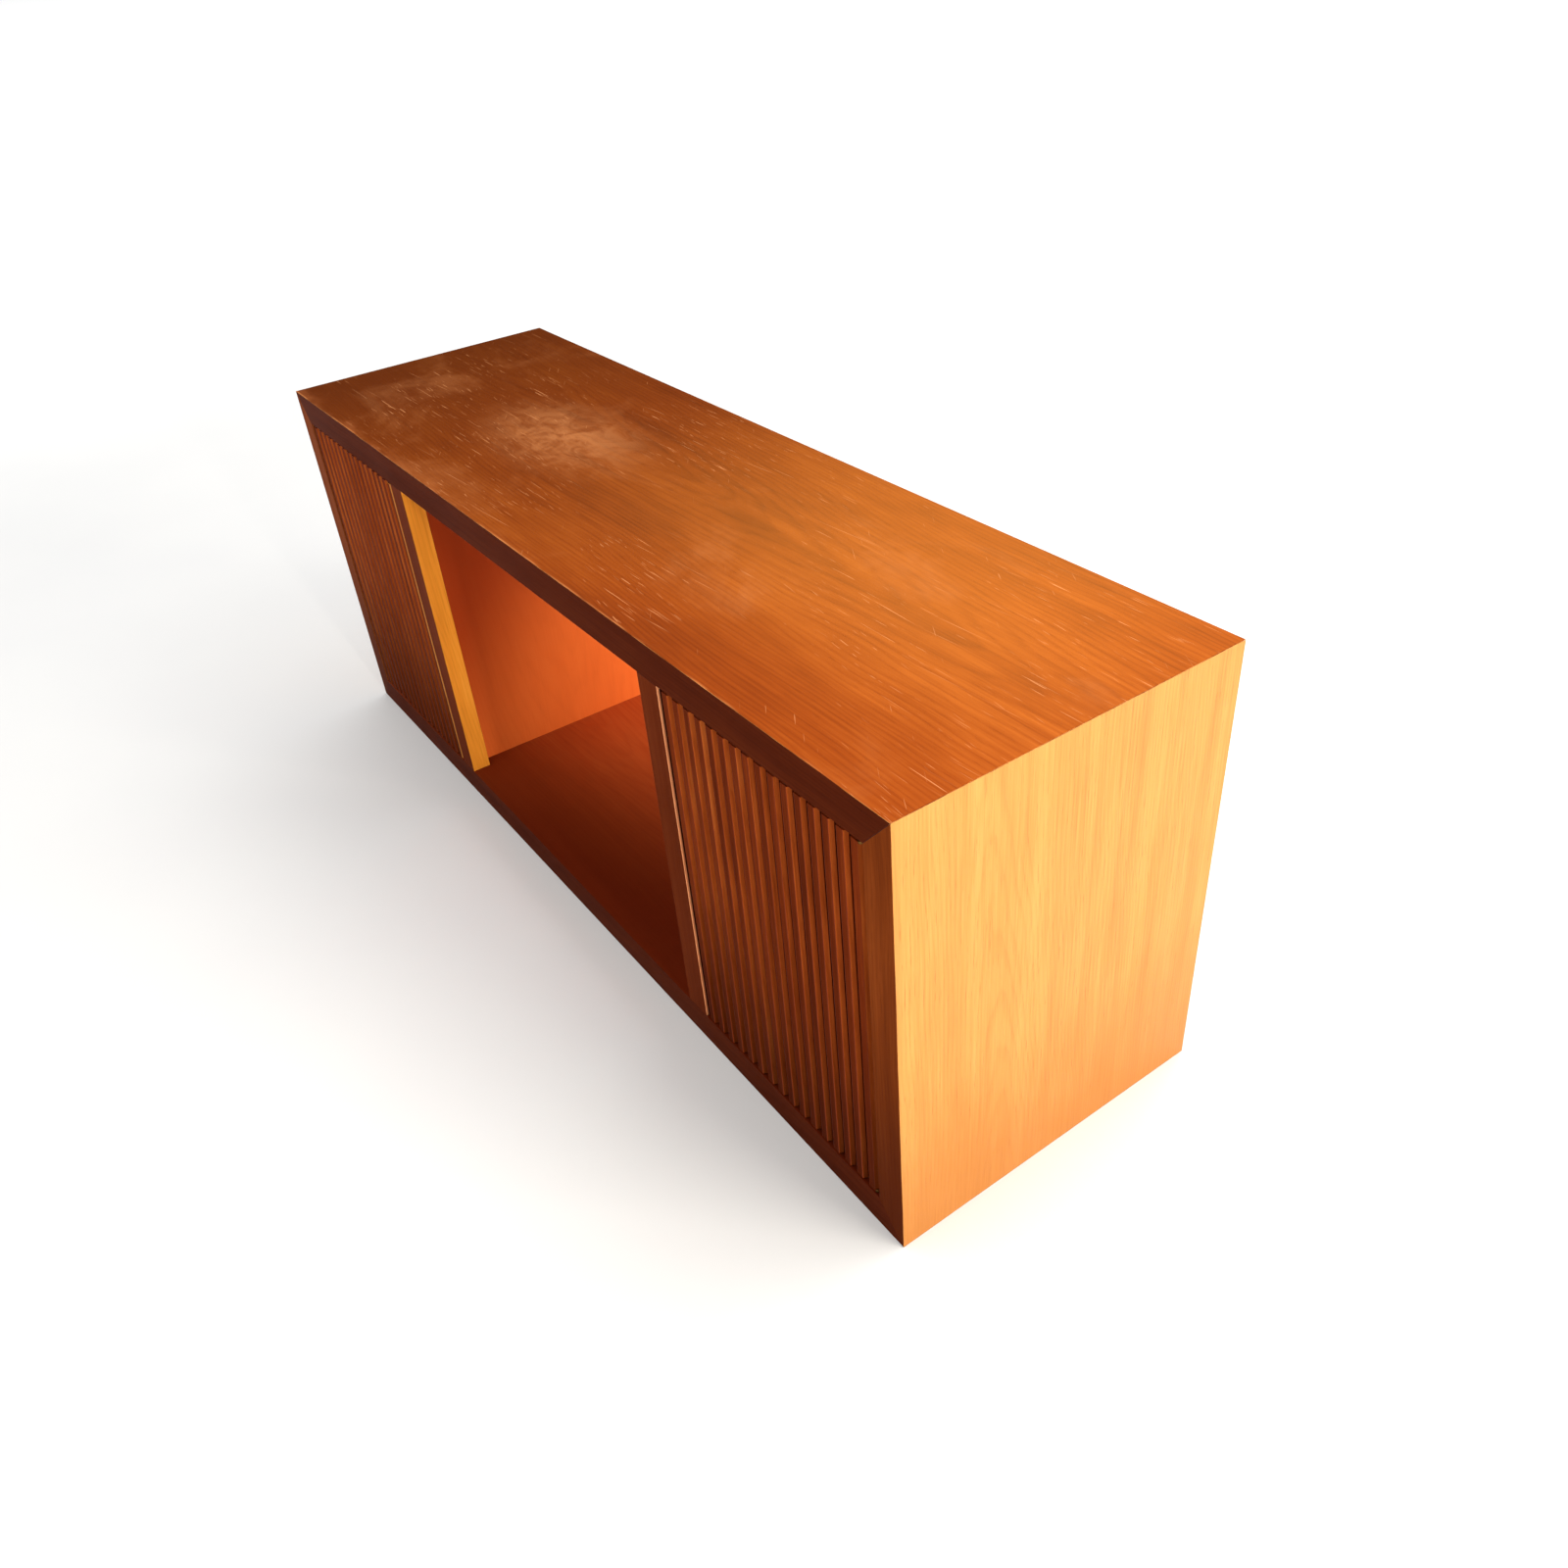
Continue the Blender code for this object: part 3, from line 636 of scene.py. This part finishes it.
dress(nodes["top_panel"], inner_along, rubbed_along, BOARD_ARRIS, up=top_veneer, front=rail_lipping)
dress(nodes["bottom_panel"], inner_along, rubbed_along, BOARD_ARRIS, up=floor_veneer, front=rail_lipping)
for side in SIDES:
    inward = OPPOSITE[side]
    dress(nodes[f"{side}_side_panel"], inner_upright, rubbed_upright, BOARD_ARRIS,
          **{side: side_veneer, "front": end_lipping})
    dress(nodes[f"{side}_stile"], stile_front, rubbed_upright, THIN_ARRIS,
          **{inward: bay_return_light, side: lit_shadowed_return_edge})
    dress(nodes[f"{side}_divider"], inner_upright, rubbed_inner, THIN_ARRIS, **{inward: wall_veneer})
    dress(nodes[f"{side}_shelf"], inner_along, rubbed_inner, THIN_ARRIS)
    dress(nodes[f"{side}_back_panel"], back_board, back_board, THIN_ARRIS)
    dress(nodes[f"{side}_door_core"], door_wood, rubbed_upright, THIN_ARRIS, front=groove_shade)
    for number in range(1, RIBS_PER_DOOR + 1):
        flanks = {"left": rib_flank, "right": rib_flank}
        rounding = rubbed_rib
        # Painted highlight: the first rib's inner flank, and on the left door its rounding too, get light
        # tones.
        if number == 1:
            flanks[inward] = inner_flank_highlight
            rounding = inner_flank_highlight if side == "left" else rubbed_rib
        dress(nodes[f"{side}_door_rib_{number:02d}"], rib_face, rounding, RIB_ARRIS, **flanks)
    dress(nodes[f"{side}_magnetic_catch"], brown_plastic, brown_plastic, METAL_ARRIS)
    dress(nodes[f"{side}_strike_plate"], steel, steel, METAL_ARRIS)
    for place in ("top", "bottom"):
        for leaf in ("frame", "door"):
            dress(nodes[f"{side}_{place}_hinge_{leaf}_leaf"], brass, brass, METAL_ARRIS)


def studio_floor():
    """A wide pale floor under the cabinet. Far off it glows a little, as a lit backdrop would."""
    mesh = bpy.data.meshes.new("studio_floor")
    corners = (
        (-FLOOR_HALF, -FLOOR_HALF, -FLOOR_DROP),
        (FLOOR_HALF, -FLOOR_HALF, -FLOOR_DROP),
        (FLOOR_HALF, FLOOR_HALF, -FLOOR_DROP),
        (-FLOOR_HALF, FLOOR_HALF, -FLOOR_DROP),
    )
    mesh.from_pydata(corners, (), ((0, 1, 2, 3),))
    graph = Graph("studio_floor")
    mottle = graph.noise(graph.place(), FLOOR_SCALE, 3.0)
    distance = graph.vector_math("LENGTH", graph.place())
    graph.surface(
        Base_Color=graph.mix(mottle, (0.77, 0.77, 0.77, 1.0), (0.80, 0.80, 0.79, 1.0)),
        Roughness=graph.fit(mottle, 0.3, 0.7, 0.85, 0.95),
        Specular_IOR_Level=0.1,
        Emission_Color=(1.0, 1.0, 1.0, 1.0),
        Emission_Strength=graph.fit(distance, *FLOOR_GLOW_DISTANCE, 0.0, FLOOR_GLOW),
    )
    mesh.materials.append(graph.material)
    plane = bpy.data.objects.new("studio_floor", mesh)
    bpy.context.scene.collection.objects.link(plane)


def softbox(name, place, aim, width, height, power, colour, reflects):
    """A rectangular area light at place, turned towards aim. The camera doesn't see the light itself."""
    light = bpy.data.lights.new(name, "AREA")
    light.shape = "RECTANGLE"
    light.size = width
    light.size_y = height
    light.energy = power
    light.color = colour
    lamp = bpy.data.objects.new(name, light)
    lamp.location = place
    lamp.rotation_euler = (Vector(aim) - Vector(place)).to_track_quat("-Z", "Y").to_euler()
    lamp.visible_camera = False
    lamp.visible_glossy = reflects
    bpy.context.scene.collection.objects.link(lamp)


def studio_world():
    """A plain pale surround behind the floor. Only the camera sees it; the lamps give all the light."""
    world = bpy.data.worlds.new("studio_world")
    bpy.context.scene.world = world
    world.use_nodes = True
    background = world.node_tree.nodes["Background"]
    background.inputs["Color"].default_value = (1.0, 1.0, 1.0, 1.0)
    background.inputs["Strength"].default_value = 1.0
    world.cycles_visibility.diffuse = False
    world.cycles_visibility.glossy = False


def studio_camera():
    lens = bpy.data.cameras.new("camera")
    lens.lens = CAMERA_LENS
    lens.sensor_width = CAMERA_SENSOR
    lens.clip_start = CAMERA_NEAR
    camera = bpy.data.objects.new("camera", lens)
    camera.location = CAMERA_PLACE
    camera.rotation_euler = tuple(radians(angle) for angle in CAMERA_TURN)
    bpy.context.scene.collection.objects.link(camera)
    bpy.context.scene.camera = camera


studio_floor()
studio_world()
for lamp_settings in LAMPS:
    softbox(*lamp_settings)
studio_camera()
bpy.context.scene.view_settings.view_transform = "Standard"
